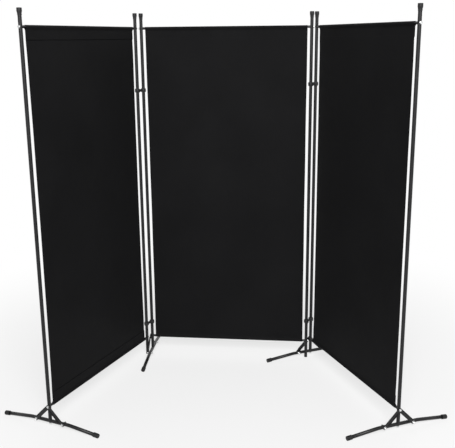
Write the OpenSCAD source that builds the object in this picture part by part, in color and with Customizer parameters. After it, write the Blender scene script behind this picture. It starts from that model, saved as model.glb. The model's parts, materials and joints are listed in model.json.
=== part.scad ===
// Folding screen of three cloth panels on steel tube frames.
// Plastic clips hinge the panels together, and four braced feet hold them up.
// The centre panel runs along +X, the back of the screen is towards +Y, and +Z is up.
// The origin is on the floor under the middle of the screen's outline.

/* [Panels] */
// Distance between the two pole axes of a panel
panel_pitch = 840; // [760:10:900]
// Height from the floor to the top of the pole caps
screen_height = 1800; // [1500:10:1900]
// Distance from the top of the pole caps down to the top crossbar's axis
top_bar_drop = 72; // [60:1:120]
// Height of the bottom crossbar's axis
bottom_bar_z = 98; // [94:1:120]
// Width of the cloth
cloth_w = 800; // [700:5:840]
// Thickness of the cloth solid
cloth_t = 1.6; // [1.2:0.1:2.4]
// Depth of the sewn hem below or above a crossbar
hem_depth = 45; // [30:1:60]

/* [Standing pose] */
// Direction of the left clips, from the centre panel's left pole
left_clip_angle = 235; // [220:1:236]
// Direction of the left panel, from its hinge pole to its outer pole
left_panel_angle = 251.2; // [240:0.1:265]
// Direction of the right clips, from the centre panel's right pole
right_clip_angle = 53; // [40:1:54]
// Direction of the right panel, from its hinge pole to its outer pole
right_panel_angle = 297; // [284:0.1:297]

/* [Tubes] */
// Outer diameter of the poles and of the foot tubes
pole_d = 16; // [15:0.5:17]
// Wall of the poles and of the foot tubes
pole_wall = 1; // [0.8:0.1:1.5]
// Outer diameter of the crossbars
bar_d = 12; // [11:0.5:13]
// Wall of the crossbars
bar_wall = 0.8; // [0.6:0.1:1]
// Height of the joint between a pole's lower and upper tubes
pole_joint_z = 900; // [600:10:1100]
// Length of the swaged spigot on top of a lower tube
spigot_len = 50; // [30:1:80]

/* [Hinge clips] */
// Distance between the two ring axes of a clip
clip_pitch = 40; // [38:1:50]
// Outer diameter of a clip's rings
clip_ring_d = 26; // [24:0.5:30]
// Height of a clip
clip_h = 19; // [14:1:30]
// Width of the neck between a clip's rings
clip_neck_w = 10; // [6:1:14]
// Heights of the left clips' middles
left_clip_z = [179, 1427]; // [150:1:1600]
// Heights of the right clips' middles
right_clip_z = [209, 1455]; // [150:1:1600]

/* [Feet] */
// Distance from the pole's axis to the tip of a foot
foot_half = 257; // [220:1:300]
// Half length of a foot tube's level middle
foot_level = 101; // [92:1:110]
// Angle by which the foot's ends bend down
foot_bend = 6; // [4:0.5:8]
// Outer diameter of the foot's end caps
foot_cap_d = 20.6; // [20:0.1:22]
// Length of a foot's end cap along the tube
foot_cap_len = 25.5; // [20:0.5:40]
// Distance from the pole's axis to a brace's lower bolt
brace_reach = 72; // [60:1:80]
// Width of a brace
brace_w = 18; // [16:0.5:20]
// Depth of a brace's flanges beyond its web
brace_flange = 3; // [2:0.1:3]

/* [Hidden] */
$fn = 48;
STEEL = "#1a1a1b";
PLASTIC = "#202022";
CLOTH = "#151516";
ZINC = "#c9cbcd";

slip = 0.02;          // radial gap of pieces pushed together
hinge_gap = 0.05;     // radial gap of a clip's rings on the poles
sheet_t = 1.5;        // steel of the braces
washer_t = 1.2;
washer_d = 12;
bolt_d = 6;
thread_gap = 0.05;    // radial gap between a bolt and its thread
hole_gap = 0.2;       // radial gap between a bolt and a plain hole
head_d = 10.5;
head_h = 3.8;
socket_af = 4;
nut_af = 10;
nut_h = 5;
cap_h = 28;           // pole's top cap
cap_top = 6;          // solid top of that cap
cap_d = [18, 21.4];   // diameters at its lip and near its top
cap_edge = 3;         // radius of the caps' rounded edges
foot_cap_tip = 3.5;   // solid end of a foot's cap
foot_sink = 0.7;      // how much of that cap the floor face trims off
plug_z = 4;           // underside of the plugs
plug_flange = 3;
plug_len = 20;
insert_len = 25;
insert_start = 9;     // from the pole's axis to a crossbar's insert
pole_insert = [38, 62];
sleeve_gap = 0.4;     // between crossbar and cloth sleeve
sleeve_t = 0.8;
cloth_hem_t = 2.6;
clip_bulge = 1.2;     // barrel rounding of the clip's rings

pole_r = pole_d / 2;
bar_r = bar_d / 2;
bore_r = pole_r - pole_wall;
bolt_r = bolt_d / 2;
top_bar_z = screen_height - top_bar_drop;
pole_top_z = screen_height - cap_top;
sleeve_r = bar_r + sleeve_gap + sleeve_t;

foot_tail = (foot_half - foot_cap_tip - foot_level) / cos(foot_bend);
foot_end_z = foot_cap_d / 2 - foot_sink;
foot_z = foot_end_z + foot_tail * sin(foot_bend);
brace_drop = bottom_bar_z - foot_z;
brace_len = sqrt(brace_reach ^ 2 + brace_drop ^ 2);
brace_tilt = atan2(brace_reach, brace_drop);

// Each pole: its name, its panel, its end of that panel, and whether it has a foot
POLES = [
    ["left_outer", 0, 1, true],
    ["left_hinge", 0, 0, false],
    ["centre_left", 1, 0, true],
    ["centre_right", 1, 1, false],
    ["right_hinge", 2, 0, true],
    ["right_outer", 2, 1, true]];
PANELS = [[0, "left"], [1, "centre"], [2, "right"]];
FOOTED = [for (p = POLES) if (p[3]) p];
BARE = [for (p = POLES) if (!p[3]) p];
LEVELS = [["top", top_bar_z], ["bottom", bottom_bar_z]];
BRACES = [["inner", 0], ["outer", 1]];
// Each clip: its name, its hinge (0 left, 1 right) and its height
CLIPS = [
    ["left_lower_clip", 0, left_clip_z[0]],
    ["left_upper_clip", 0, left_clip_z[1]],
    ["right_lower_clip", 1, right_clip_z[0]],
    ["right_upper_clip", 1, right_clip_z[1]]];

function polar(r, a) = r * [cos(a), sin(a)];

// Pole axes in a plan whose centre panel is centred on the origin
hinge_at = [[-panel_pitch / 2, 0], [panel_pitch / 2, 0]];
clip_angle = [left_clip_angle, right_clip_angle];
panel_angle = [left_panel_angle, 0, right_panel_angle];
panel_plan = [
    hinge_at[0] + polar(clip_pitch, left_clip_angle),
    hinge_at[0],
    hinge_at[1] + polar(clip_pitch, right_clip_angle)];
left_end = panel_plan[0] + polar(panel_pitch, left_panel_angle);
right_end = panel_plan[2] + polar(panel_pitch, right_panel_angle);

// How far a foot reaches from its pole along a line at angle a to the foot
function foot_span(a) = cap_edge + (foot_half - cap_edge) * abs(cos(a))
    + (foot_cap_d / 2 - cap_edge) * abs(sin(a));
outline_x = [
    left_end.x - foot_span(left_panel_angle - 90),
    right_end.x + foot_span(right_panel_angle - 90)];
outline_y = [left_end.y - foot_span(left_panel_angle), foot_span(0)];
middle = [outline_x[0] + outline_x[1], outline_y[0] + outline_y[1]] / 2;

// A panel's own frame: its first pole at the origin, its crossbars along +X
module on_panel(panel) {
    at = panel_plan[panel] - middle;
    translate([at.x, at.y, 0])
        rotate([0, 0, panel_angle[panel]])
            children();
}

// A pole's own frame: +X points away from its panel
module on_pole(pole) {
    on_panel(pole[1])
        translate([pole[2] * panel_pitch, 0, 0])
            rotate([0, 0, 180 - 180 * pole[2]])
                children();
}

// A rod along X from x0 to x1
module rod_x(d, x0, x1, sides = $fn) {
    translate([x0, 0, 0])
        rotate([0, 90, 0])
            cylinder(d = d, h = x1 - x0, $fn = sides);
}

// Holes through a pole for the bolt of a crossbar at height z
module bar_bolt_hole(z) {
    translate([0, 0, z])
        rod_x(bolt_d + 2 * hole_gap, -pole_d, pole_d);
}

module upper_tube(pole) {
    color(STEEL)
        on_pole(pole)
            difference() {
                translate([0, 0, pole_joint_z])
                    cylinder(r = pole_r, h = pole_top_z - pole_joint_z);
                translate([0, 0, pole_joint_z - 1])
                    cylinder(r = bore_r, h = pole_top_z - pole_joint_z + 2);
                bar_bolt_hole(top_bar_z);
            }
}

// The lower tube ends in a narrower spigot, and a footed one is coped to sit on its foot
module lower_tube(pole) {
    z0 = pole[3] ? foot_z + 2 : plug_z + plug_flange;
    joint = pole_joint_z;
    spigot_r = bore_r - slip;
    color(STEEL)
        on_pole(pole)
            difference() {
                rotate_extrude()
                    polygon([
                        [bore_r, z0], [pole_r, z0], [pole_r, joint], [spigot_r, joint],
                        [spigot_r, joint + spigot_len], [spigot_r - pole_wall, joint + spigot_len],
                        [spigot_r - pole_wall, joint - 2], [bore_r, joint - 4]]);
                bar_bolt_hole(bottom_bar_z);
                if (pole[3])
                    translate([0, 0, foot_z])
                        rotate([90, 0, 0])
                            cylinder(r = pole_r, h = 2 * pole_d, center = true);
            }
}

module top_cap(pole) {
    lip_z = screen_height - cap_h;
    edge_r = cap_d[1] / 2 - cap_edge;
    edge_z = screen_height - cap_edge;
    color(PLASTIC)
        on_pole(pole)
            rotate_extrude()
                difference() {
                    union() {
                        polygon([
                            [0, lip_z], [cap_d[0] / 2, lip_z], [cap_d[1] / 2, edge_z],
                            [edge_r, screen_height], [0, screen_height]]);
                        translate([edge_r, edge_z])
                            circle(cap_edge);
                    }
                    translate([-1, lip_z - 1])
                        square([pole_r + slip + 1, pole_top_z - lip_z + 1]);
                    translate([-2 * cap_d[1], 0])
                        square([2 * cap_d[1], 2 * screen_height]);
                }
}

module bottom_plug(pole) {
    color(PLASTIC)
        on_pole(pole)
            translate([0, 0, plug_z])
                difference() {
                    union() {
                        cylinder(r = pole_r + 0.3, h = plug_flange);
                        cylinder(r = bore_r - slip, h = plug_flange + plug_len);
                    }
                    translate([0, 0, plug_flange])
                        cylinder(r = bore_r - 2, h = plug_len + 1);
                }
}

// A crossbar, its ends coped to the two poles
module crossbar(panel, z) {
    color(STEEL)
        on_panel(panel)
            difference() {
                translate([0, 0, z])
                    rod_x(bar_d, 0, panel_pitch);
                translate([0, 0, z])
                    rod_x(bar_d - 2 * bar_wall, -1, panel_pitch + 1);
                for (x = [0, panel_pitch])
                    translate([x, 0, z - bar_d])
                        cylinder(r = pole_r, h = 2 * bar_d);
            }
}

// Threaded inserts in the four ends of a panel's crossbars
module bar_inserts(panel) {
    color(ZINC)
        for (pole = POLES, level = LEVELS)
            if (pole[1] == panel)
                on_pole(pole)
                    translate([0, 0, level[1]])
                        difference() {
                            rod_x(bar_d - 2 * bar_wall - 2 * slip, -insert_start - insert_len, -insert_start);
                            rod_x(bolt_d, -insert_start - insert_len - 1, -insert_start + 1);
                        }
}

// A round-headed socket bolt along X: its head's underside at x0, its tip at x1 < x0
module bolt_x(x0, x1) {
    difference() {
        union() {
            rod_x(bolt_d - 2 * thread_gap, x1, x0 + 0.5);
            translate([x0, 0, 0])
                rotate([0, 90, 0])
                    rotate_extrude()
                        intersection() {
                            square([head_d / 2, head_h]);
                            translate([0, head_h - head_d])
                                circle(head_d);
                        }
        }
        translate([x0 + head_h - 2, 0, 0])
            rod_x(socket_af / cos(30), 0, head_h, 6);
    }
}

module washer_x(x0, t = washer_t) {
    difference() {
        rod_x(washer_d, x0, x0 + t);
        rod_x(bolt_d + 2 * hole_gap, x0 - 1, x0 + t + 1);
    }
}

// The bolts that hold a panel's crossbars; on a footed pole the lowest one holds the braces too
module bar_bolts(panel) {
    color(ZINC)
        for (pole = POLES, level = LEVELS)
            if (pole[1] == panel) {
                braced = pole[3] && level[0] == "bottom";
                seat = pole_r + (braced ? 2 * sheet_t : 0);
                on_pole(pole)
                    translate([0, 0, level[1]]) {
                        washer_x(seat);
                        bolt_x(seat + washer_t, -insert_start - 20);
                    }
            }
}

// A cloth panel: a sleeve round each crossbar, a doubled hem beside it and the sheet between
module cloth(panel) {
    side = (panel_pitch - cloth_w) / 2;
    low = bottom_bar_z + bar_r + sleeve_gap + sleeve_t / 2;
    high = top_bar_z - bar_r - sleeve_gap - sleeve_t / 2;
    color(CLOTH)
        on_panel(panel)
            difference() {
                union() {
                    translate([side, -cloth_t / 2, low])
                        cube([cloth_w, cloth_t, high - low]);
                    for (z = [low, high - hem_depth])
                        translate([side, -cloth_hem_t / 2, z])
                            cube([cloth_w, cloth_hem_t, hem_depth]);
                    for (z = [bottom_bar_z, top_bar_z])
                        translate([0, 0, z])
                            rod_x(2 * sleeve_r, side, side + cloth_w);
                }
                for (z = [bottom_bar_z, top_bar_z])
                    translate([0, 0, z])
                        rod_x(bar_d + 2 * sleeve_gap, side - 1, side + cloth_w + 1);
            }
}

// A clip: two barrel-shaped rings, one on each pole, and the neck that joins them
module clip(hinge, z) {
    at = hinge_at[hinge] - middle;
    ring_r = clip_ring_d / 2;
    color(PLASTIC)
        translate([at.x, at.y, z - clip_h / 2])
            rotate([0, 0, clip_angle[hinge]])
                difference() {
                    union() {
                        for (x = [0, clip_pitch])
                            translate([x, 0, 0])
                                rotate_extrude()
                                    polygon([
                                        [0, 0], [ring_r - 2 * clip_bulge, 0],
                                        [ring_r - clip_bulge / 2, clip_bulge],
                                        [ring_r, clip_h / 3], [ring_r, clip_h * 2 / 3],
                                        [ring_r - clip_bulge / 2, clip_h - clip_bulge],
                                        [ring_r - 2 * clip_bulge, clip_h], [0, clip_h]]);
                        translate([0, -clip_neck_w / 2, 2])
                            cube([clip_pitch, clip_neck_w, clip_h - 4]);
                    }
                    for (x = [0, clip_pitch])
                        translate([x, 0, -1])
                            cylinder(r = pole_r + hinge_gap, h = clip_h + 2);
                }
}

// Repeats a piece for the two halves of a foot
module at_foot_sides() {
    for (turn = [0, 180])
        rotate([0, 0, turn])
            children();
}

// The end of a foot tube: +Z there points out along its tail
module at_foot_end() {
    translate([0, foot_level + foot_tail * cos(foot_bend), -foot_tail * sin(foot_bend)])
        rotate([-90 - foot_bend, 0, 0])
            children();
}

// The space beyond the mitre plane where a foot's run of diameter d bends down
module beyond_bend(d) {
    translate([0, foot_level, 0])
        rotate([-foot_bend / 2, 0, 0])
            translate([-d, 0, -d])
                cube([2 * d, 2 * foot_tail, 2 * d]);
}

// The foot's run of diameter d, mitred where it bends, each end longer by extra
module foot_run(d, extra) {
    difference() {
        rotate([90, 0, 0])
            cylinder(d = d, h = 2 * (foot_level + d), center = true);
        at_foot_sides()
            beyond_bend(d);
    }
    at_foot_sides()
        intersection() {
            at_foot_end()
                translate([0, 0, -foot_tail - d])
                    cylinder(d = d, h = foot_tail + d + extra);
            beyond_bend(d);
        }
}

module foot_tube(pole) {
    color(STEEL)
        on_pole(pole)
            translate([0, 0, foot_z])
                difference() {
                    foot_run(pole_d, 0);
                    foot_run(pole_d - 2 * pole_wall, 1);
                    cylinder(d = bolt_d + 2 * hole_gap, h = 2 * pole_d, center = true);
                    for (y = [-brace_reach, brace_reach])
                        translate([0, y, 0])
                            rod_x(bolt_d + 2 * hole_gap, -pole_d, pole_d);
                }
}

// The two moulded caps on a foot's ends, each with a flat face on the floor
module foot_caps(pole) {
    cap_r = foot_cap_d / 2;
    color(PLASTIC)
        on_pole(pole)
            intersection() {
                translate([0, 0, foot_z])
                    at_foot_sides()
                        at_foot_end()
                            difference() {
                                rotate_extrude()
                                    intersection() {
                                        union() {
                                            translate([0, foot_cap_tip - foot_cap_len])
                                                square([cap_r, foot_cap_len - cap_edge]);
                                            square([cap_r - cap_edge, foot_cap_tip]);
                                            translate([cap_r - cap_edge, foot_cap_tip - cap_edge])
                                                circle(cap_edge);
                                        }
                                        translate([0, -foot_cap_len])
                                            square(2 * foot_cap_len);
                                    }
                                translate([0, 0, -foot_cap_len])
                                    cylinder(r = pole_r + slip, h = foot_cap_len);
                            }
                translate([-foot_half, -2 * foot_half, 0])
                    cube([2 * foot_half, 4 * foot_half, 4 * foot_cap_d]);
            }
}

// A stamped channel brace; the one on layer 1 lies over the one on layer 0
module brace(pole, layer) {
    flange_top = sheet_t + brace_flange;
    fade = brace_w / 2 + 1;
    color(STEEL)
        on_pole(pole)
            translate([pole_r + layer * sheet_t, 0, bottom_bar_z])
                rotate([(2 * layer - 1) * brace_tilt, 0, 0]) {
                    rotate([90, 0, 90])
                        linear_extrude(sheet_t)
                            difference() {
                                union() {
                                    translate([-brace_w / 2, -brace_len])
                                        square([brace_w, brace_len]);
                                    for (y = [0, -brace_len])
                                        translate([0, y])
                                            circle(d = brace_w);
                                }
                                for (y = [0, -brace_len])
                                    translate([0, y])
                                        circle(d = bolt_d + 2 * hole_gap);
                            }
                    for (y = [sheet_t - brace_w / 2, brace_w / 2])
                        translate([0, y, 0])
                            rotate([90, 0, 0])
                                linear_extrude(sheet_t)
                                    polygon([
                                        [0, -fade], [flange_top, -fade - 8],
                                        [flange_top, fade + 8 - brace_len], [0, fade - brace_len]]);
                }
}

// Bolts, nuts and washers of a foot: one pair for each brace, and the bolt up into the pole
module foot_fasteners(pole) {
    color(ZINC)
        on_pole(pole) {
            for (layer = [0, 1])
                translate([0, (2 * layer - 1) * brace_reach, foot_z])
                    brace_bolt(layer);
            translate([0, 0, foot_z - pole_r])
                rotate([0, 90, 0])
                    pole_bolt();
            difference() {
                translate([0, 0, pole_insert[0]])
                    cylinder(r = bore_r - slip, h = pole_insert[1] - pole_insert[0]);
                translate([0, 0, pole_insert[0] - 1])
                    cylinder(d = bolt_d, h = pole_insert[1] - pole_insert[0] + 2);
            }
        }
}

module brace_bolt(layer) {
    seat = pole_r + (1 + layer) * sheet_t;
    if (layer == 1)
        washer_x(pole_r, sheet_t);
    washer_x(seat);
    bolt_x(seat + washer_t, -pole_r - washer_t - nut_h - 2);
    washer_x(-pole_r - washer_t);
    difference() {
        rod_x(nut_af / cos(30), -pole_r - washer_t - nut_h, -pole_r - washer_t, 6);
        rod_x(bolt_d, -pole_r - washer_t - nut_h - 1, -pole_r);
    }
}

// The bolt under a foot, along X with its hexagon head outwards
module pole_bolt() {
    washer_x(0);
    rod_x(nut_af / cos(30), washer_t, washer_t + nut_h, 6);
    rod_x(bolt_d - 2 * thread_gap, foot_z - pole_r - pole_insert[1] + 4, washer_t + 0.5);
}

for (p = POLES) {
    upper_tube(p);
    lower_tube(p);
    top_cap(p);
}
for (p = BARE)
    bottom_plug(p);
for (p = PANELS) {
    for (l = LEVELS)
        crossbar(p[0], l[1]);
    cloth(p[0]);
    bar_inserts(p[0]);
    bar_bolts(p[0]);
}
for (c = CLIPS)
    clip(c[1], c[2]);
for (p = FOOTED) {
    foot_tube(p);
    for (b = BRACES)
        brace(p, b[1]);
    foot_caps(p);
    foot_fasteners(p);
}
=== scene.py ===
"""Looks for a three-panel folding screen: cloth, moulded clips and caps, coated steel and zinc bolts."""
import json
import math

import bmesh
import bpy
import numpy as np
from mathutils import Matrix, Vector


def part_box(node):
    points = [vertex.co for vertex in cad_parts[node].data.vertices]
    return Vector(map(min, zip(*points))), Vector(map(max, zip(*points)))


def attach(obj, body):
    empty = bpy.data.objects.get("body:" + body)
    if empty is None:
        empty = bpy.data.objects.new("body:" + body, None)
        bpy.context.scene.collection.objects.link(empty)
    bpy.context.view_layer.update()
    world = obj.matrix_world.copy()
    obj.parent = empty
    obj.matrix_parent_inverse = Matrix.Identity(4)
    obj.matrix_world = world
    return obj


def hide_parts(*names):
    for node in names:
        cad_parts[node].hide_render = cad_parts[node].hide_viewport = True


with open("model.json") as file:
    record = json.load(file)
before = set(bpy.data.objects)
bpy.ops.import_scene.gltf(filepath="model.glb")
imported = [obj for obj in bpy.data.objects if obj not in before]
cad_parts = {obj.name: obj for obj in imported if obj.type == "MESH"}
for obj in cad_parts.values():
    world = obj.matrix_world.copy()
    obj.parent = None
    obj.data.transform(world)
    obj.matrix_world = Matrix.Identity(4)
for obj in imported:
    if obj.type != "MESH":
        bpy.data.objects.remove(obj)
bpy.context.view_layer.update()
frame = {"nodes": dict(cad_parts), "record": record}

MM = 0.001
PANELS = ("left", "centre", "right")
# Each panel's first pole, where its own frame has its origin, and its last pole
PANEL_POLES = {
    "left": ("left_hinge", "left_outer"),
    "centre": ("centre_left", "centre_right"),
    "right": ("right_hinge", "right_outer"),
}
FOOTED = ("left_outer", "centre_left", "right_hinge", "right_outer")


# ---------------------------------------------------------------- places from the frame

def middle(node):
    low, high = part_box(node)
    return (Vector(low) + Vector(high)) / 2


def panel_of(pole):
    return next(panel for panel in PANELS if pole in PANEL_POLES[panel])


def pole_axis(pole):
    """The plan position of a pole's axis."""
    return middle(pole + "_upper_tube").to_2d()


def panel_matrix(panel):
    """A panel's own frame: its first pole at the origin, its crossbars along +X, the floor at z = 0."""
    first, last = (pole_axis(p) for p in PANEL_POLES[panel])
    along = last - first
    turn = Matrix.Rotation(math.atan2(along.y, along.x), 4, "Z")
    return Matrix.Translation((first.x, first.y, 0)) @ turn


def pole_matrix(pole):
    """A pole's own frame: its axis at the origin and +X away from its panel."""
    panel = panel_of(pole)
    first, last = (pole_axis(p) for p in PANEL_POLES[panel])
    out = (last - first) if pole == PANEL_POLES[panel][1] else (first - last)
    at = pole_axis(pole)
    return Matrix.Translation((at.x, at.y, 0)) @ Matrix.Rotation(math.atan2(out.y, out.x), 4, "Z")


PITCH = (pole_axis("centre_right") - pole_axis("centre_left")).length
TOP_BAR_Z = middle("centre_top_bar").z
BOTTOM_BAR_Z = middle("centre_bottom_bar").z
BAR_R = (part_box("centre_top_bar")[1][2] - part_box("centre_top_bar")[0][2]) / 2
POLE_R = (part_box("centre_left_upper_tube")[1][0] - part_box("centre_left_upper_tube")[0][0]) / 2


# ---------------------------------------------------------------- materials

class Shader:
    """A short way to build one Principled material from noise, waves and ramps."""

    def __init__(self, name):
        self.material = bpy.data.materials.new(name)
        self.material.use_nodes = True
        self.nodes = self.material.node_tree.nodes
        self.links = self.material.node_tree.links
        self.principled = self.nodes["Principled BSDF"]
        self.place = self.add("ShaderNodeTexCoord").outputs["Object"]

    def add(self, kind, **values):
        node = self.nodes.new(kind)
        for name, value in values.items():
            setattr(node, name, value)
        return node

    def set(self, **values):
        for name, value in values.items():
            self.principled.inputs[name.replace("_", " ")].default_value = value

    def noise(self, scale, detail=4.0, roughness=0.5, stretch=(1, 1, 1)):
        mapping = self.add("ShaderNodeMapping")
        mapping.inputs["Scale"].default_value = stretch
        self.links.new(self.place, mapping.inputs["Vector"])
        node = self.add("ShaderNodeTexNoise")
        node.inputs["Scale"].default_value = scale
        node.inputs["Detail"].default_value = detail
        node.inputs["Roughness"].default_value = roughness
        self.links.new(mapping.outputs["Vector"], node.inputs["Vector"])
        return node.outputs["Fac"]

    def ramp(self, factor, low, high):
        """A colour that goes from low to high over the middle of the factor's range."""
        node = self.add("ShaderNodeValToRGB")
        for element, at, value in zip(node.color_ramp.elements, (0.35, 0.65), (low, high)):
            element.position = at
            element.color = (*value, 1)
        self.links.new(factor, node.inputs["Fac"])
        return node.outputs["Color"]

    def level(self, factor, low, high):
        node = self.add("ShaderNodeMapRange")
        node.inputs["To Min"].default_value = low
        node.inputs["To Max"].default_value = high
        self.links.new(factor, node.inputs["Value"])
        return node.outputs["Result"]

    def math(self, operation, a, b):
        node = self.add("ShaderNodeMath", operation=operation)
        for socket, value in zip(node.inputs, (a, b)):
            if isinstance(value, (int, float)):
                socket.default_value = value
            else:
                self.links.new(value, socket)
        return node.outputs["Value"]

    def colour(self, output):
        self.links.new(output, self.principled.inputs["Base Color"])

    def roughness(self, output):
        self.links.new(output, self.principled.inputs["Roughness"])

    def bump(self, height, strength, distance):
        node = self.add("ShaderNodeBump")
        node.inputs["Strength"].default_value = strength
        node.inputs["Distance"].default_value = distance
        self.links.new(height, node.inputs["Height"])
        self.links.new(node.outputs["Normal"], self.principled.inputs["Normal"])


def coated_steel():
    """Black powder coat: a fine orange peel, soft highlights and faint dust."""
    s = Shader("black_powder_coat")
    s.colour(s.ramp(s.noise(9), (0.0055, 0.0055, 0.0060), (0.0095, 0.0095, 0.0101)))
    s.roughness(s.level(s.noise(60), 0.30, 0.44))
    s.bump(s.noise(1400, detail=2), 0.35, 0.00012)
    s.set(Specular_IOR_Level=0.3)
    return s.material


def moulded_plastic():
    """Black moulded polypropylene with a fine spark-eroded grain."""
    s = Shader("black_moulded_plastic")
    s.colour(s.ramp(s.noise(25), (0.010, 0.010, 0.0105), (0.017, 0.017, 0.018)))
    s.roughness(s.level(s.noise(90), 0.46, 0.62))
    s.bump(s.noise(2200, detail=3), 0.5, 0.00015)
    s.set(Specular_IOR_Level=0.25)
    return s.material


def zinc():
    """Bright zinc plate with turning marks and slightly dull patches."""
    s = Shader("bright_zinc")
    s.colour(s.ramp(s.noise(140), (0.52, 0.53, 0.54), (0.78, 0.78, 0.77)))
    s.roughness(s.level(s.noise(300), 0.24, 0.42))
    s.bump(s.noise(900, stretch=(1, 1, 6)), 0.2, 0.0001)
    s.set(Metallic=1.0)
    return s.material


def weave(s, pitch):
    """A plain weave's height: crossed threads of that pitch in the cloth's own X and Z."""
    split = s.add("ShaderNodeSeparateXYZ")
    s.links.new(s.place, split.inputs["Vector"])
    turns = 2 * math.pi / pitch
    across = s.math("SINE", s.math("MULTIPLY", split.outputs["X"], turns), 0.0)
    down = s.math("SINE", s.math("MULTIPLY", split.outputs["Z"], turns), 0.0)
    return s.math("MULTIPLY", across, down)


def cloth_material():
    """Black polyester, plain weave, with a soft sheen and slightly uneven yarn."""
    s = Shader("black_polyester")
    threads = weave(s, 0.9 * MM)
    slubs = s.noise(420, detail=2, stretch=(1, 1, 0.08))
    uneven = s.math("ADD", s.math("MULTIPLY", s.noise(3.5), 0.6), s.math("MULTIPLY", slubs, 0.4))
    s.colour(s.ramp(uneven, (0.0066, 0.0066, 0.0070), (0.0094, 0.0094, 0.0099)))
    s.roughness(s.level(s.noise(30), 0.62, 0.78))
    s.bump(s.math("ADD", threads, s.math("MULTIPLY", slubs, 0.8)), 0.30, 0.0002)
    s.set(Specular_IOR_Level=0.04, Sheen_Weight=0.01, Sheen_Roughness=0.5)
    return s.material


def thread_material():
    s = Shader("black_thread")
    s.colour(s.ramp(s.noise(800), (0.008, 0.008, 0.0085), (0.016, 0.016, 0.017)))
    s.roughness(s.level(s.noise(500), 0.5, 0.7))
    s.bump(s.noise(3000, detail=1), 0.4, 0.0001)
    s.set(Specular_IOR_Level=0.1)
    return s.material


STEEL = coated_steel()
PLASTIC = moulded_plastic()
ZINC = zinc()
CLOTH = cloth_material()
THREAD = thread_material()
LOOKS = {"steel": STEEL, "plastic": PLASTIC, "zinc": ZINC, "cloth": CLOTH}


def paint_frame():
    """Gives every CAD node the finish of its material slot."""
    for part in frame["record"]["subparts"]:
        node = frame["nodes"][part["node"]]
        node.data.materials.clear()
        node.data.materials.append(LOOKS[part["material_slot"]])


# ---------------------------------------------------------------- mesh helpers

def new_object(name, mesh, material, matrix, smooth=True):
    """Makes an object whose mesh is already in place, so the object itself stays at the origin."""
    mesh.transform(matrix)
    mesh.materials.append(material)
    mesh.polygons.foreach_set("use_smooth", [smooth] * len(mesh.polygons))
    obj = bpy.data.objects.new(name, mesh)
    bpy.context.scene.collection.objects.link(obj)
    return obj


def grid_mesh(name, points, close_rows=False, close_columns=False):
    """A mesh from a grid of points, an array of rows x columns x 3."""
    rows, columns = points.shape[:2]
    mesh = bpy.data.meshes.new(name)
    faces = []
    for i in range(rows if close_rows else rows - 1):
        for j in range(columns if close_columns else columns - 1):
            a, b = i * columns + j, i * columns + (j + 1) % columns
            down = ((i + 1) % rows - i) * columns
            faces.append((a, b, b + down, a + down))
    mesh.from_pydata(points.reshape(-1, 3).tolist(), [], faces)
    mesh.update()
    return mesh


def rounded(outline, radius, steps=4):
    """A closed outline of (r, z) points with its corners turned into short curves."""
    out = []
    count = len(outline)
    for i in range(count):
        here = Vector(outline[i])
        before, after = Vector(outline[i - 1]) - here, Vector(outline[(i + 1) % count]) - here
        cut = min(radius, before.length * 0.45, after.length * 0.45)
        start, end = here + before.normalized() * cut, here + after.normalized() * cut
        for k in range(steps + 1):
            t = k / steps
            out.append(tuple(start * (1 - t) ** 2 + here * 2 * t * (1 - t) + end * t ** 2))
    return out


def lathe(name, outline, sides=48):
    """A ring turned about Z from a closed outline of (r, z) points, all with r > 0."""
    angles = np.linspace(0, 2 * math.pi, sides, endpoint=False)
    r, z = np.array(outline).T
    points = np.stack([
        np.outer(np.cos(angles), r), np.outer(np.sin(angles), r), np.outer(np.ones(sides), z)], axis=2)
    mesh = grid_mesh(name, points, close_rows=True, close_columns=True)
    face_outwards(mesh)
    return mesh


def face_outwards(mesh, close_ends=False):
    """Turns a mesh's faces outwards, and first fills its open ends if it is a tube."""
    work = bmesh.new()
    work.from_mesh(mesh)
    if close_ends:
        bmesh.ops.holes_fill(work, edges=work.edges)
    bmesh.ops.recalc_face_normals(work, faces=work.faces)
    work.to_mesh(mesh)
    work.free()


def joined(name, meshes):
    """One mesh that holds several."""
    work = bmesh.new()
    for mesh in meshes:
        work.from_mesh(mesh)
        bpy.data.meshes.remove(mesh)
    whole = bpy.data.meshes.new(name)
    work.to_mesh(whole)
    work.free()
    return whole


# ---------------------------------------------------------------- cloth panels

HEM = 45 * MM          # depth of the sewn hem
SIDE_HEM = 12 * MM     # width of the narrow hem down each side
CLOTH_T = 0.7 * MM     # thickness of one layer
# How far each cloth's two edges stand from the axes of its panel's first and last pole
MARGINS = {"left": (27 * MM, 26 * MM), "centre": (20 * MM, 20 * MM), "right": (34 * MM, 27 * MM)}
# How far each cloth's edges curve in at half height
PULL_IN = {"left": 4.0 * MM, "centre": 1.2 * MM, "right": 2.5 * MM}
BILLOW = 3.0 * MM      # how far the middle stands out of flat
SLEEVE_R = BAR_R + 0.55 * MM + CLOTH_T / 2
LAYER_GAP = 0.5 * MM   # half the distance between a hem's two layers
EASE = 70 * MM         # how far past a hem the single layer takes to come back to flat
FOLD = 1.95 * SLEEVE_R  # where the two layers meet, from the bar's axis
TOP_HEM_EDGE = TOP_BAR_Z - SLEEVE_R - HEM
BOTTOM_HEM_EDGE = BOTTOM_BAR_Z + SLEEVE_R + HEM


def sheet_shift(z):
    """How far the front layer stands forward at height z: fully at the hems, then easing to flat."""
    away = np.clip(np.minimum(TOP_HEM_EDGE - z, z - BOTTOM_HEM_EDGE) / EASE, 0, 1)
    return -(LAYER_GAP + CLOTH_T / 2) * (1 - away * away * (3 - 2 * away))


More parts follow.
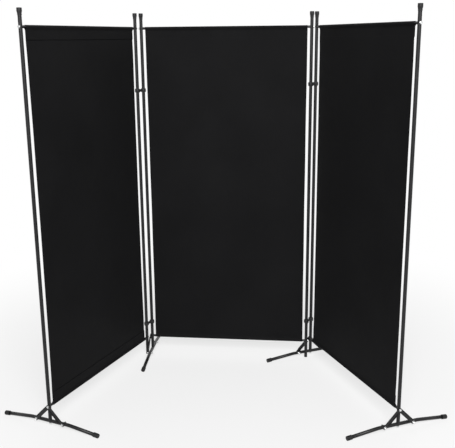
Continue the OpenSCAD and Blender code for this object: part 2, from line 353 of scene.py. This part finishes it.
def bar_loop(z, top, back, front):
    """The cloth's path round a bar, from the back layer to the front one."""
    sign = 1 if top else -1
    reach = 1.9 * SLEEVE_R
    lean = math.radians(34)
    loop = [(SLEEVE_R * math.cos(a), z + sign * SLEEVE_R * math.sin(a), 0.0)
            for a in np.linspace(-lean, math.pi + lean, 26)]
    enter = [(back, z - sign * reach, 0.0), (back * 1.7, z - sign * reach * 0.82, 0.0)]
    leave = [(front * 1.7, z - sign * reach * 0.82, 0.0), (front, z - sign * reach, 0.0)]
    return enter + loop + leave


def strip_profile():
    """The cloth's path: up the top hem's back, over the top bar, down, and round the bottom bar.

    Each point is (y, z, share), where share says how freely the cloth may billow there."""
    back, front = LAYER_GAP + CLOTH_T / 2, -LAYER_GAP - CLOTH_T / 2
    steps = np.linspace(0, 1, 9)
    points = []
    for t in steps[:-1]:
        points.append((back, TOP_HEM_EDGE + t * (HEM - 0.95 * SLEEVE_R), 0.0))
    points += bar_loop(TOP_BAR_Z, True, back, front)
    for t in steps[1:]:
        points.append((front, TOP_BAR_Z - FOLD + t * (TOP_HEM_EDGE - TOP_BAR_Z + FOLD), 0.02 * t))
    for z in np.linspace(TOP_HEM_EDGE, BOTTOM_HEM_EDGE, 92)[1:-1]:
        points.append((sheet_shift(z), z, 1.0))
    for t in steps[:-1]:
        height = BOTTOM_HEM_EDGE + t * (BOTTOM_BAR_Z + FOLD - BOTTOM_HEM_EDGE)
        points.append((front, height, 0.02 * (1 - t)))
    points += bar_loop(BOTTOM_BAR_Z, False, back, front)[::-1]
    for t in steps[1:]:
        points.append((back, BOTTOM_BAR_Z + FOLD + t * (BOTTOM_HEM_EDGE - BOTTOM_BAR_Z - FOLD), 0.0))
    return np.array(points)


def cloth_span(panel):
    """Where a cloth's two edges are along its panel."""
    first, last = MARGINS[panel]
    return first, PITCH - last


def pulled_in(panel, v, seed):
    """How far a side edge stands in from its straight line, at v up the cloth."""
    inside = np.clip(v, 0, 1)
    return PULL_IN[panel] * np.abs(np.sin(np.pi * inside)) ** 0.8 + 0.3 * MM * np.sin(v * 23 + seed)


def billow(u, v, seed):
    """How far the cloth stands out of flat at u across and v up, each from 0 to 1, in metres."""
    u, v = np.clip(u, 0, 1), np.clip(v, 0, 1)
    random = np.random.default_rng(seed)
    inside = np.abs(np.sin(np.pi * u) * np.sin(np.pi * v)) ** 0.7
    out = BILLOW * inside * np.sin(np.pi * (u * 0.9 + 0.05))
    for _ in range(5):
        tilt, phase = random.uniform(-0.5, 0.5), random.uniform(0, 2 * math.pi)
        waves = random.uniform(1.2, 3.4)
        out += 0.35 * MM * inside * np.sin(2 * np.pi * waves * (u + tilt * v) + phase)
    # Short tension folds that start where the cloth is gathered at the bars and die away
    for edge in (v, 1 - v):
        fade = np.exp(-edge / 0.055) * (1 - np.exp(-edge / 0.012))
        for _ in range(6):
            at, spread = random.uniform(0.02, 0.98), random.uniform(0.012, 0.03)
            height = random.uniform(-0.7, 0.7) * MM
            out += height * fade * np.exp(-((u - at) / spread) ** 2)
    # Drawn folds from each corner towards the middle of the side
    for across in (u, 1 - u):
        for up in (v, 1 - v):
            along = across * 0.8 + up * 1.8
            off = across * 1.8 - up * 0.8
            out += 0.5 * MM * np.exp(-along / 0.16) * np.sin(off * 60) * np.exp(-np.abs(off) / 0.12)
    return out


def cloth_panel(panel, seed):
    """One cloth panel, as a single strip that is folded round both crossbars and sewn to itself."""
    profile = strip_profile()
    low, high = BOTTOM_BAR_Z, TOP_BAR_Z
    start, end = cloth_span(panel)
    width = end - start
    across = np.concatenate([
        np.linspace(0, SIDE_HEM, 4)[:-1],
        np.linspace(SIDE_HEM, width - SIDE_HEM, 61),
        np.linspace(width - SIDE_HEM, width, 4)[1:]])
    u = across / width
    points = np.zeros((len(profile), len(across), 3))
    for i, (y, z, share) in enumerate(profile):
        v = (z - low) / (high - low)
        narrowing = 1 - 2 * pulled_in(panel, v, seed) / width
        points[i, :, 0] = (start + end) / 2 + (across - width / 2) * narrowing
        points[i, :, 1] = y + share * billow(u, v, seed)
        points[i, :, 2] = z
    mesh = grid_mesh(panel + "_sheet", points)
    sheet = new_object(panel + "_sheet", mesh, CLOTH, panel_matrix(panel))
    solid = sheet.modifiers.new("layer", "SOLIDIFY")
    solid.thickness = CLOTH_T
    solid.offset = 0
    length = float(np.linalg.norm(np.diff(profile[:, :2], axis=0), axis=1).sum())
    return sheet, (width, length)


def side_hem_section():
    """The closed outline of a side hem, as (distance in from the edge, share of its height) points."""
    width = SIDE_HEM / MM
    front = [(i * MM, out) for i, out in ((0, 0), (0.5, 0.6), (3, 1), (width - 1.5, 1), (width, 0))]
    return front + [(i, -out) for i, out in front[-2:0:-1]]


def side_hems(panel, seed):
    """The narrow doubled hem down each side of the sheet, front and back."""
    z = np.linspace(BOTTOM_BAR_Z + SLEEVE_R + 2 * MM, TOP_BAR_Z - SLEEVE_R - 2 * MM, 120)
    v = (z - BOTTOM_BAR_Z) / (TOP_BAR_Z - BOTTOM_BAR_Z)
    free = (v > 0.03) & (v < 0.97)
    pull = pulled_in(panel, v, seed)
    start, end = cloth_span(panel)
    section = side_hem_section()
    thick, swell = CLOTH_T * 0.3, 0.1 * MM
    bands = []
    for side, straight in ((-1, start), (1, end)):
        edge = straight - side * pull
        rows = np.zeros((len(z), len(section), 3))
        for k, (inward, out) in enumerate(section):
            x = edge - side * (inward - 0.4 * MM)
            u = np.clip((x - start) / (end - start), 0, 1)
            puff = (out > 0) * swell * np.sin(z * 90) ** 2
            rows[:, k, 0] = x
            rows[:, k, 1] = out * (CLOTH_T / 2 + thick) + puff + sheet_shift(z) + billow(u, v, seed) * free
            rows[:, k, 2] = z
        band = grid_mesh("band", rows, close_columns=True)
        face_outwards(band)
        bands.append(band)
    return new_object(panel + "_side_hems", joined(panel + "_side_hems", bands), CLOTH, panel_matrix(panel))


def stitch_row(start, end, lift, pitch=4.2 * MM, length=3.0 * MM, radius=0.32 * MM):
    """Stitches in a row from start to end, each a small rounded bead of thread lying on the cloth."""
    start, end, lift = np.array(start), np.array(end), np.array(lift)
    along = end - start
    count = int(np.linalg.norm(along) / pitch)
    step = along / np.linalg.norm(along)
    across = np.cross(step, lift)
    stations = ((-0.5, 0.15), (-0.32, 0.8), (0, 1.0), (0.32, 0.8), (0.5, 0.15))
    sides = 6
    verts, faces = [], []
    for i in range(count):
        centre = start + step * (i + 0.5) * pitch
        base = len(verts)
        for at, size in stations:
            for k in range(sides):
                a = 2 * math.pi * k / sides
                ring = (across * math.cos(a) + lift * math.sin(a)) * radius * size
                verts.append(centre + step * at * length + ring)
        for s in range(len(stations) - 1):
            for k in range(sides):
                a, b = base + s * sides + k, base + s * sides + (k + 1) % sides
                faces.append((a, b, b + sides, a + sides))
        faces.append(tuple(base + k for k in range(sides))[::-1])
        faces.append(tuple(base + (len(stations) - 1) * sides + k for k in range(sides)))
    mesh = bpy.data.meshes.new("stitches")
    mesh.from_pydata([tuple(v) for v in verts], [], faces)
    return mesh


def stitching(panel):
    """Two rows of stitches along each hem, on the front and on the back."""
    rows = []
    start, end = cloth_span(panel)
    left, right = start + 2 * MM, end - 2 * MM
    face = LAYER_GAP + CLOTH_T + 0.05 * MM
    for bar_z, sign in ((TOP_BAR_Z, -1), (BOTTOM_BAR_Z, 1)):
        for depth in (SLEEVE_R + HEM - 4 * MM, 2.1 * SLEEVE_R):
            z = bar_z + sign * depth
            for y in (-face, face):
                rows.append(stitch_row((left, y, z), (right, y, z), (0, 1, 0)))
    return new_object(panel + "_stitching", joined(panel + "_stitching", rows), THREAD, panel_matrix(panel))


def make_cloth():
    for seed, panel in enumerate(PANELS, start=3):
        sheet, flat = cloth_panel(panel, seed)
        body = panel + "_panel"
        trims = [side_hems(panel, seed), stitching(panel)]
        for piece in [sheet] + trims:
            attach(piece, body)
        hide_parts(panel + "_cloth")


# ---------------------------------------------------------------- moulded pieces

def top_cap(pole):
    """The flared cap: a thin lip, a shallow groove, a smooth flare and a softly rounded top."""
    low, high = (corner[2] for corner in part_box(pole + "_top_cap"))
    top_r = (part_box(pole + "_top_cap")[1][0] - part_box(pole + "_top_cap")[0][0]) / 2 - 0.03 * MM
    bore = POLE_R + 0.02 * MM
    lip = bore + 0.95 * MM
    rise = [k / 10 for k in range(11)]
    flare = [(lip + (top_r - lip) * (0.5 - 0.5 * math.cos(math.pi * t)), low + 6 * MM + 11 * MM * t)
             for t in rise]
    outline = [(bore, low), (lip, low), (lip, low + 4.2 * MM), (lip - 0.35 * MM, low + 4.6 * MM),
               (lip - 0.35 * MM, low + 5.4 * MM)]
    outline += flare
    outline += [(top_r - 0.3 * MM, high - 1.3 * MM), (top_r - 1.1 * MM, high - 0.35 * MM),
                (top_r - 2.4 * MM, high), (0.3 * top_r, high), (0.02 * MM, high - 0.1 * MM),
                (0.02 * MM, high - 6 * MM), (bore, high - 6 * MM)]
    mesh = lathe(pole + "_cap", rounded(outline, 0.35 * MM, 3), sides=56)
    return new_object(pole + "_cap", mesh, PLASTIC, pole_matrix(pole))


CLIP_RING_R = 13 * MM - 0.05 * MM
NECK_END = CLIP_RING_R - 1.8 * MM  # where the neck starts, inside the ring's outer face


def squared(value):
    """A sine or cosine raised so that the section it draws is a rounded rectangle."""
    return math.copysign(abs(value) ** 0.45, value)


def clip_ring(x, half):
    """A barrel-shaped ring round the pole at x."""
    bore = POLE_R + 0.06 * MM
    belly = [(CLIP_RING_R - 1.6 * MM * abs(t) ** 2.6, t * half * 0.97) for t in np.linspace(-1, 1, 15)]
    outline = [(bore, -half * 0.97)] + belly + [(bore, half * 0.97)]
    ring = lathe("ring", rounded(outline, 0.7 * MM, 3), sides=48)
    ring.transform(Matrix.Translation((x, 0, 0)))
    return ring


def clip_neck(pitch):
    """The neck between a clip's rings, narrowest half way along."""
    stations = np.linspace(NECK_END, pitch - NECK_END, 13)
    sides = 28
    rows = np.zeros((len(stations), sides, 3))
    for i, x in enumerate(stations):
        t = (x - pitch / 2) / (pitch / 2 - NECK_END)
        wide, tall = (4.1 + 1.6 * t * t) * MM, (6.4 + 1.3 * t * t) * MM
        for k in range(sides):
            a = 2 * math.pi * k / sides
            rows[i, k] = (x, wide * squared(math.cos(a)), tall * squared(math.sin(a)))
    web = grid_mesh("neck", rows, close_columns=True)
    face_outwards(web, close_ends=True)
    return web


def clip_piece(node):
    """A hinge clip: two rings and the neck whose ends sink into them."""
    low, high = (Vector(corner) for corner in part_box(node))
    hinge = node.split("_")[0]
    poles = ("centre_left", "left_hinge") if hinge == "left" else ("centre_right", "right_hinge")
    first, second = (pole_axis(p) for p in poles)
    along = second - first
    half = (high.z - low.z) / 2
    parts = [clip_ring(x, half) for x in (0.0, along.length)] + [clip_neck(along.length)]
    turn = Matrix.Rotation(math.atan2(along.y, along.x), 4, "Z")
    place = Matrix.Translation((first.x, first.y, (low.z + high.z) / 2)) @ turn
    return new_object(node + "_moulding", joined(node, parts), PLASTIC, place)


# ---------------------------------------------------------------- foot tubes

FOOT_LEVEL = 101 * MM         # where the level run's axis would meet the tail's
FOOT_REACH = 253.5 * MM       # how far each end of the tube is from the pole's axis
FOOT_BEND = math.radians(6)
FOOT_BEND_R = 250 * MM        # radius of the bend along the tube's axis


def foot_path():
    """The (y, z) points of a foot tube's axis from end to end, level at z = 0 in the middle."""
    level_end = FOOT_LEVEL - FOOT_BEND_R * math.tan(FOOT_BEND / 2)
    turns = np.linspace(0, FOOT_BEND, 17)
    half = [(level_end + FOOT_BEND_R * math.sin(t), FOOT_BEND_R * (math.cos(t) - 1)) for t in turns]
    half.append((FOOT_REACH, (FOOT_LEVEL - FOOT_REACH) * math.tan(FOOT_BEND)))
    return np.array([(-y, z) for y, z in half[::-1]] + half)


def foot_tube(pole):
    """A foot's tube, with a smooth bend where the machine forms it."""
    path = foot_path()
    along = np.gradient(path, axis=0)
    along /= np.linalg.norm(along, axis=1)[:, None]
    angles = np.linspace(0, 2 * math.pi, 48, endpoint=False)
    rings = np.zeros((len(path), len(angles), 3))
    rings[:, :, 0] = POLE_R * np.cos(angles)
    rings[:, :, 1] = path[:, :1] - along[:, 1:] * POLE_R * np.sin(angles)
    rings[:, :, 2] = path[:, 1:] + along[:, :1] * POLE_R * np.sin(angles)
    mesh = grid_mesh(pole + "_foot", rings, close_columns=True)
    face_outwards(mesh, close_ends=True)
    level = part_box(pole + "_foot_tube")[1].z - POLE_R
    return new_object(pole + "_foot", mesh, STEEL, pole_matrix(pole) @ Matrix.Translation((0, 0, level)))


def make_feet():
    for pole in FOOTED:
        tube = foot_tube(pole)
        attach(tube, panel_of(pole) + "_panel")
        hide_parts(pole + "_foot_tube")


def make_mouldings():
    for panel in PANELS:
        for pole in PANEL_POLES[panel]:
            cap = top_cap(pole)
            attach(cap, panel + "_panel")
            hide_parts(pole + "_top_cap")
    for hinge in ("left", "right"):
        for level in ("lower", "upper"):
            node = f"{hinge}_{level}_clip"
            piece = clip_piece(node)
            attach(piece, hinge + "_clips")
            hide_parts(node)


# ---------------------------------------------------------------- camera, floor and light

def make_camera():
    """A camera at standing eye height in front of the screen, a little right of its middle."""
    pitch, yaw, roll = 0.24917, -0.10877, -0.00935
    forward = Vector((math.sin(yaw) * math.cos(pitch), math.cos(yaw) * math.cos(pitch), -math.sin(pitch)))
    right = Vector((math.cos(yaw), -math.sin(yaw), 0))
    up = right.cross(forward)
    tilt_right = math.cos(roll) * right + math.sin(roll) * up
    tilt_up = -math.sin(roll) * right + math.cos(roll) * up
    centre = (pole_axis("centre_left") + pole_axis("centre_right")) / 2
    camera = bpy.data.objects.new("camera", bpy.data.cameras.new("camera"))
    bpy.context.scene.collection.objects.link(camera)
    turn = Matrix((tilt_right, tilt_up, -forward)).transposed().to_4x4()
    place = Matrix.Translation((centre.x + 0.4015, centre.y - 3.6663, 1.675))
    camera.matrix_world = place @ turn
    camera.data.sensor_width = 36
    camera.data.lens = 36 * 728.03 / 455
    camera.data.clip_end = 100
    bpy.context.scene.camera = camera


def seen_directly(nodes, links):
    """A factor that is 1 for rays that show the background itself: camera, mirror and glass rays."""
    path = nodes.new("ShaderNodeLightPath")
    total = path.outputs["Is Camera Ray"]
    for name in ("Is Glossy Ray", "Is Transmission Ray"):
        add = nodes.new("ShaderNodeMath")
        add.operation = "MAXIMUM"
        links.new(total, add.inputs[0])
        links.new(path.outputs[name], add.inputs[1])
        total = add.outputs["Value"]
    return total


def floor_material():
    """White that shows the object's soft shadow near by and melts into plain white further off."""
    material = bpy.data.materials.new("white_floor")
    material.use_nodes = True
    nodes, links = material.node_tree.nodes, material.node_tree.links
    lit = nodes["Principled BSDF"]
    lit.inputs["Base Color"].default_value = (0.94, 0.94, 0.94, 1)
    lit.inputs["Roughness"].default_value = 0.9
    lit.inputs["Specular IOR Level"].default_value = 0.1
    white = nodes.new("ShaderNodeEmission")
    place = nodes.new("ShaderNodeTexCoord")
    distance = nodes.new("ShaderNodeVectorMath")
    distance.operation = "LENGTH"
    links.new(place.outputs["Object"], distance.inputs[0])
    far = nodes.new("ShaderNodeMapRange")
    far.interpolation_type = "SMOOTHSTEP"
    for name, value in (("From Min", 0.6), ("From Max", 2.6), ("To Min", 0.70), ("To Max", 1.0)):
        far.inputs[name].default_value = value
    links.new(distance.outputs["Value"], far.inputs["Value"])
    share = nodes.new("ShaderNodeMath")
    share.operation = "MULTIPLY"
    links.new(far.outputs["Result"], share.inputs[0])
    links.new(seen_directly(nodes, links), share.inputs[1])
    mix = nodes.new("ShaderNodeMixShader")
    links.new(share.outputs["Value"], mix.inputs["Fac"])
    links.new(lit.outputs["BSDF"], mix.inputs[1])
    links.new(white.outputs["Emission"], mix.inputs[2])
    links.new(mix.outputs["Shader"], nodes["Material Output"].inputs["Surface"])
    return material


def make_floor():
    half = 30
    corners = [(-half, -half, 0), (half, -half, 0), (half, half, 0), (-half, half, 0)]
    mesh = bpy.data.meshes.new("floor")
    mesh.from_pydata(corners, [], [(0, 1, 2, 3)])
    mesh.materials.append(floor_material())
    floor = bpy.data.objects.new("floor", mesh)
    bpy.context.scene.collection.objects.link(floor)


def make_world():
    world = bpy.data.worlds.new("white")
    bpy.context.scene.world = world
    world.use_nodes = True
    nodes, links = world.node_tree.nodes, world.node_tree.links
    background = nodes["Background"]
    background.inputs["Color"].default_value = (1, 1, 1, 1)
    strength = nodes.new("ShaderNodeMapRange")
    strength.inputs["To Min"].default_value = 0.18
    strength.inputs["To Max"].default_value = 1.0
    links.new(seen_directly(nodes, links), strength.inputs["Value"])
    links.new(strength.outputs["Result"], background.inputs["Strength"])


def area_light(name, place, target, size, power):
    data = bpy.data.lights.new(name, "AREA")
    data.shape = "RECTANGLE"
    data.size, data.size_y = size
    data.energy = power
    lamp = bpy.data.objects.new(name, data)
    bpy.context.scene.collection.objects.link(lamp)
    lamp.location = place
    lamp.rotation_euler = (Vector(target) - Vector(place)).to_track_quat("-Z", "Y").to_euler()


def make_lights():
    area_light("key", (0.8, -4.2, 3.4), (0, 0, 1.1), (3.0, 2.0), 262)
    area_light("back", (0.2, 4.6, 3.6), (0, 0, 1.0), (5.0, 3.0), 60)


def main():
    scene = bpy.context.scene
    scene.view_settings.view_transform = "Standard"
    make_camera()
    make_floor()
    make_world()
    make_lights()
    paint_frame()
    make_cloth()
    make_mouldings()
    make_feet()


main()
